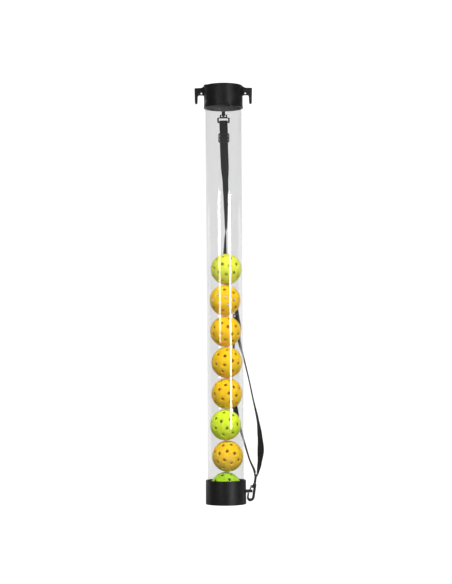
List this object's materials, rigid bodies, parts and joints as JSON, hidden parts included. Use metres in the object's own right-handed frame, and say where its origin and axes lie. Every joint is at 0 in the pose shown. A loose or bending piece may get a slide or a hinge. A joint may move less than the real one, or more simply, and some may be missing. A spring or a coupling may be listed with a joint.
{
  "type": "pickleball pickup tube",
  "caption": "Clear ball pickup tube with a hooked black cap, a snap-in mouth ring, a clipped carry strap and hollow balls.",
  "frame": {"origin": "centre of the object's box, on the floor plane that the mouth collar stands on", "axes": "+Z along the tube from the mouth to the cap, -Y to the front where both hangers are seen side by side, +X to the strap's lower clip"},
  "size_m": [0.159, 0.12, 0.9993],
  "materials": {
    "clear_plastic": "gloss",
    "black_plastic": "satin",
    "black_rubber": "matte",
    "steel": "satin",
    "webbing": "matte",
    "ball_orange": "satin",
    "ball_lime": "satin",
    "ball_green": "satin"
  },
  "bodies": {
    "tube_body": {"tube": "clear_plastic", "bottom_collar": "black_plastic", "retaining_ring": "black_rubber", "strap_webbing": "webbing"},
    "cap": {"top_cap": "black_plastic"},
    "ball_stack": {"ball_1": "ball_green", "ball_2": "ball_orange", "ball_3": "ball_lime", "ball_4": "ball_orange", "ball_5": "ball_orange", "ball_6": "ball_orange", "ball_7": "ball_orange", "ball_8": "ball_lime"},
    "top_hook": {"top_clip_hook": "black_plastic", "top_clip_pin": "steel"},
    "top_gate": {"top_clip_gate": "black_plastic"},
    "top_loop": {"top_strap_loop": "black_plastic"},
    "top_slider": {"upper_slider": "black_plastic"},
    "bottom_hook": {"bottom_clip_hook": "black_plastic", "bottom_clip_pin": "steel"},
    "bottom_gate": {"bottom_clip_gate": "black_plastic"},
    "bottom_loop": {"bottom_strap_loop": "black_plastic"},
    "bottom_slider": {"lower_slider": "black_plastic"}
  },
  "joints": [
    {"name": "cap_lift", "type": "slide", "parent": "tube_body", "child": "cap", "axis": [0, 0, 1], "range_m": [0, 0.055], "deforming": ["strap_webbing"]},
    {"name": "ball_stack_rise", "type": "slide", "parent": "tube_body", "child": "ball_stack", "axis": [0, 0, 1], "range_m": [0, 0.39]},
    {"name": "top_hook_swing", "type": "hinge", "parent": "cap", "child": "top_hook", "pos_m": [-0.0105, 0.0491, 0.9749], "axis": [1, 0, 0], "range_deg": [-3, 40], "deforming": ["strap_webbing"]},
    {"name": "top_gate_press", "type": "hinge", "parent": "top_hook", "child": "top_gate", "pos_m": [-0.0105, 0.0482, 0.95], "axis": [-1, 0, 0], "range_deg": [0, 22], "stiffness_Nm_per_rad": 0.02, "springref_deg": -17.19},
    {"name": "top_loop_swivel", "type": "hinge", "parent": "top_hook", "child": "top_loop", "pos_m": [-0.0105, 0.055, 0.9485], "axis": [0, 0, 1], "range_deg": [-90, 90], "deforming": ["strap_webbing"]},
    {"name": "top_slider_slide", "type": "slide", "parent": "top_loop", "child": "top_slider", "axis": [0, 0, -1], "range_m": [-0.012, 0.04], "deforming": ["strap_webbing"]},
    {"name": "bottom_hook_swing", "type": "hinge", "parent": "tube_body", "child": "bottom_hook", "pos_m": [0.0506, -0.0105, 0.0305], "axis": [0, 1, 0], "range_deg": [-12, 5], "deforming": ["strap_webbing"]},
    {"name": "bottom_gate_press", "type": "hinge", "parent": "bottom_hook", "child": "bottom_gate", "pos_m": [0.05025, -0.0105, 0.04166], "axis": [0, -1, 0], "range_deg": [0, 4], "stiffness_Nm_per_rad": 0.02, "springref_deg": -17.19},
    {"name": "bottom_loop_swivel", "type": "hinge", "parent": "bottom_hook", "child": "bottom_loop", "pos_m": [0.05719, -0.0105, 0.0422], "axis": [0.1392, 0, 0.9903], "range_deg": [-90, 90], "deforming": ["strap_webbing"]},
    {"name": "bottom_slider_slide", "type": "slide", "parent": "tube_body", "child": "bottom_slider", "axis": [-0.1697, 0.0665, 0.9832], "range_m": [-0.02, 0.02], "deforming": ["strap_webbing"]}
  ]
}
